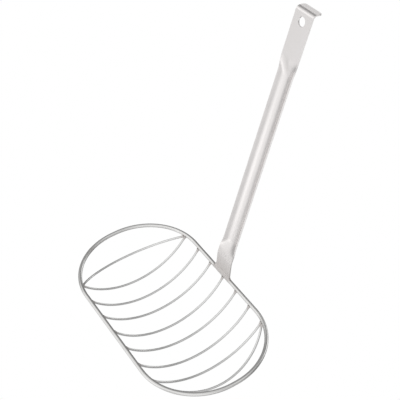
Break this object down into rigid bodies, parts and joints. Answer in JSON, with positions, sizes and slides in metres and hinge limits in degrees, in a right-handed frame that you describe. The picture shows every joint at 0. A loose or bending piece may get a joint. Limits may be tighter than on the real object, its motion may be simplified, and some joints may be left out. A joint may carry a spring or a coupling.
{
  "type": "wire potato scoop",
  "caption": "Long-handled scoop with an open oval basket of bowed steel wires, for lifting boiled potatoes out of water and draining them.",
  "frame": {"origin": "centre of the round hang hole, at the middle of the sheet's thickness", "axes": "+Z out of the basket's mouth, with the rim level; +Y from the basket towards the handle; +X along the basket's long way. The rim's centre is at (0.002, -0.1351, -0.2181) m"},
  "size_m": [0.2, 0.2005, 0.2558],
  "materials": {
    "rim_steel": "bright tumbled stainless wire",
    "wire_steel": "tumbled stainless wire",
    "weld_steel": "cleaned weld metal, slightly dull",
    "handle_steel": "satin stainless sheet, fine grain along the strip"
  },
  "bodies": {
    "root": {"rim_ring": "rim_steel", "cross_wire_1": "wire_steel", "cross_wire_2": "wire_steel", "cross_wire_3": "wire_steel", "cross_wire_4": "wire_steel", "cross_wire_5": "wire_steel", "cross_wire_6": "wire_steel", "cross_wire_7": "wire_steel", "end_wire_left": "wire_steel", "end_wire_right": "wire_steel", "wire_welds": "weld_steel", "handle": "handle_steel", "handle_weld": "weld_steel"}
  },
  "joints": []
}
